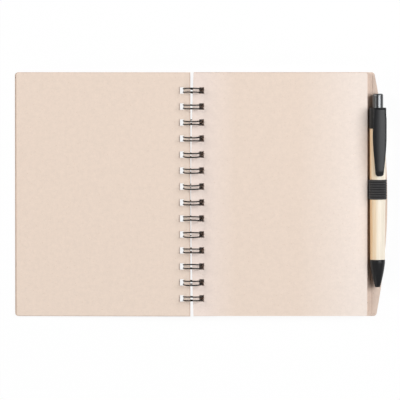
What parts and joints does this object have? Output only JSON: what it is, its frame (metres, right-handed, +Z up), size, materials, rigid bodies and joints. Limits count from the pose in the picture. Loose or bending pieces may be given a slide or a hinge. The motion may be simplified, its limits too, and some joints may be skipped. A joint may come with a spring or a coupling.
{
  "type": "spiral notebook",
  "caption": "Wire-bound notebook lying open, with card covers, plain recycled paper pages and a click pen held by an elastic loop on the back cover's bowed flap.",
  "frame": {"origin": "on the table under the middle of the open notebook's overall outline", "axes": "+X across the open notebook from the front cover to the back cover's flap, +Y towards the head of the pages, +Z up from the table"},
  "size_m": [0.2725, 0.1786, 0.0161],
  "materials": {
    "cover_card": "uncoated recycled card, fine fibres",
    "page_paper": "uncoated recycled paper, beige with fine flecks",
    "coated_wire": "black nylon coating, slight gloss",
    "elastic": "ribbed woven elastic, matt",
    "bamboo": "light bamboo, straight grain, satin",
    "satin_black": "satin moulded plastic",
    "gloss_black": "gloss moulded plastic",
    "inner_plastic": "plain moulded plastic, hidden",
    "refill_plastic": "smooth extruded tube, hidden",
    "refill_brass": "turned metal, bright",
    "spring_steel": "drawn spring wire"
  },
  "bodies": {
    "back": {"back_cover": "cover_card", "wire_binding": "coated_wire", "pen_loop": "elastic", "pen_barrel": "bamboo", "nose_cone": "satin_black", "pen_clip": "satin_black", "return_spring": "spring_steel"},
    "block": {"page_block": "page_paper"},
    "front": {"front_cover": "cover_card", "turned_pages": "page_paper"},
    "button": {"push_button": "gloss_black", "click_rotor": "inner_plastic", "refill_tube": "refill_plastic", "refill_tip": "refill_brass"}
  },
  "joints": [
    {"name": "front_cover_hinge", "type": "hinge", "parent": "back", "child": "front", "pos_m": [-0.00635, 0, 0.0072], "axis": [0, 1, 0], "range_deg": [0, 180]},
    {"name": "page_block_hinge", "type": "hinge", "parent": "back", "child": "block", "pos_m": [-0.00635, 0, 0.0072], "axis": [0, -1, 0], "range_deg": [0, 180]},
    {"name": "button_slide", "type": "slide", "parent": "back", "child": "button", "axis": [0, -1, 0], "range_m": [0, 0.0045], "stiffness_N_per_m": 200, "springref_m": -0.006, "deforming": ["return_spring"]}
  ]
}
